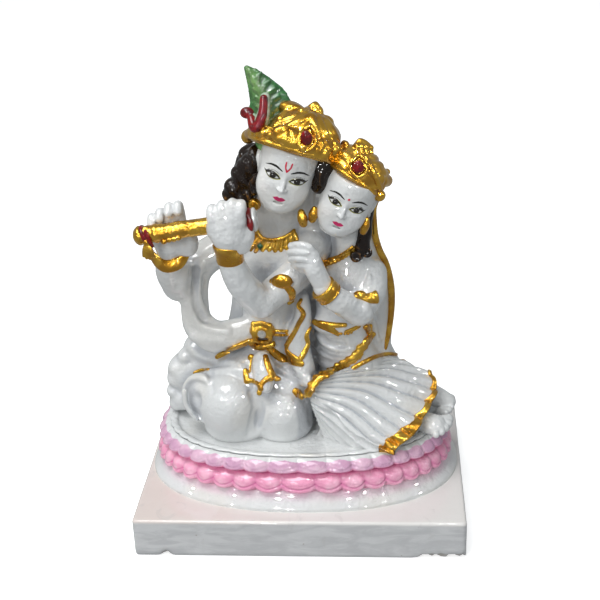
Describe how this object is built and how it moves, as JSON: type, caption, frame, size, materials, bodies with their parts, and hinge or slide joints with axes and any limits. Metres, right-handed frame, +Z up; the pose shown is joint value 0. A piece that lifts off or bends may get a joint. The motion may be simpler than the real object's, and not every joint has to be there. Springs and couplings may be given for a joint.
{
  "type": "religious idol",
  "caption": "Glazed cast idol of a seated couple, one playing a flute, on an oval lotus seat and a plain rectangular slab",
  "frame": {"origin": "middle of the slab's underside", "axes": "+Z up, -Y towards the front, +X towards the viewer's right"},
  "size_m": [0.125, 0.094, 0.1753],
  "materials": {
    "white_glaze": "glossy",
    "gold_paint": "glossy",
    "pink_paint": "glossy",
    "hair_paint": "glossy",
    "green_paint": "glossy",
    "red_paint": "glossy"
  },
  "bodies": {
    "root": {"idol": "white_glaze"}
  },
  "joints": []
}
